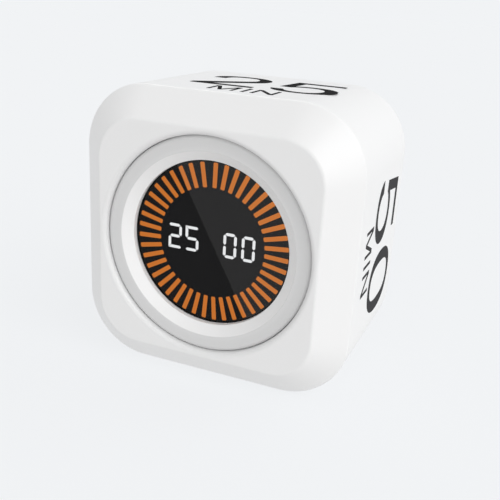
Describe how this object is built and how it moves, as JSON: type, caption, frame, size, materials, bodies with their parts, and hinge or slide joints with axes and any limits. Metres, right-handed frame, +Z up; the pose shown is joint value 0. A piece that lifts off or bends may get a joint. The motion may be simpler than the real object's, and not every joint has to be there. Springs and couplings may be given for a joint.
{
  "type": "visual timer",
  "caption": "Rounded cube-like flip timer with a turning dial ring round a smoked display of light bars and digits, rear button, mode slider and charging socket.",
  "frame": {"origin": "middle of the underside: centre of the bounding box's bottom face, where the timer stands", "axes": "+X to the viewer's right of the display, +Y away from the display towards the rear controls, +Z up"},
  "size_m": [0.06, 0.045, 0.06],
  "materials": {
    "white_gloss": "satin to gloss white moulding",
    "white_satin": "satin white moulding",
    "smoked_glass": "polished smoked glass",
    "black_plastic": "matt black moulding",
    "orange_light": "lit orange light guide",
    "white_light": "lit white light guide",
    "black_board": "black solder mask",
    "green_board": "green solder mask",
    "natural_nylon": "natural nylon",
    "grey_plastic": "fine textured grey moulding",
    "steel": "plated steel",
    "silver_pouch": "aluminium-laminate pouch",
    "grey_foam": "closed-cell foam",
    "chip_black": "moulded epoxy",
    "ribbon_amber": "polyimide film",
    "wire_red": "red wire insulation"
  },
  "bodies": {
    "housing": {"front_shell": "white_gloss", "rear_cover": "white_gloss", "display_lens": "smoked_glass", "display_block": "black_plastic", "bar_light_guide": "orange_light", "digit_light_guide": "white_light", "display_board": "black_board", "display_screw_1": "steel", "display_screw_2": "steel", "chassis": "grey_plastic", "chassis_screw_1": "steel", "chassis_screw_2": "steel", "chassis_screw_3": "steel", "chassis_screw_4": "steel", "rotary_encoder": "grey_plastic", "encoder_cable": "grey_plastic", "battery_foam": "grey_foam", "battery": "silver_pouch", "battery_clamp": "grey_plastic", "clamp_screw_1": "steel", "clamp_screw_2": "steel", "battery_header": "natural_nylon", "battery_plug": "natural_nylon", "battery_lead_plus": "wire_red", "battery_lead_minus": "chip_black", "main_board": "green_board", "controller_chip": "chip_black", "motion_sensor_chip": "chip_black", "charger_chip": "chip_black", "main_connector": "natural_nylon", "display_connector": "natural_nylon", "display_ribbon": "ribbon_amber", "usb_socket": "steel", "buzzer": "black_plastic", "tact_switch": "black_plastic", "slide_switch": "steel", "rear_screw_1": "steel", "rear_screw_2": "steel", "rear_screw_3": "steel", "rear_screw_4": "steel"},
    "dial": {"dial_ring": "white_satin", "dial_gear": "natural_nylon", "dial_screw_1": "steel", "dial_screw_2": "steel", "dial_screw_3": "steel", "dial_screw_4": "steel"},
    "encoder": {"encoder_pinion": "natural_nylon", "encoder_shaft": "steel"},
    "button": {"start_button": "white_satin", "tact_plunger": "natural_nylon"},
    "slider": {"mode_slider": "grey_plastic", "switch_lever": "chip_black"}
  },
  "joints": [
    {"name": "dial_turn", "type": "hinge", "parent": "housing", "child": "dial", "pos_m": [0, -0.0185, 0.03], "axis": [0, 1, 0], "continuous": true},
    {"name": "encoder_turn", "type": "hinge", "parent": "housing", "child": "encoder", "pos_m": [0.02338, -0.0134, 0.0435], "axis": [0, 1, 0], "continuous": true},
    {"name": "button_press", "type": "slide", "parent": "housing", "child": "button", "axis": [0, -1, 0], "range_m": [0, 0.0004], "stiffness_N_per_m": 2500},
    {"name": "mode_slide", "type": "slide", "parent": "housing", "child": "slider", "axis": [1, 0, 0], "range_m": [-0.002, 0.002]}
  ],
  "couplings": [
    {"joint": "encoder_turn", "follows": "dial_turn", "ratio": -8}
  ]
}
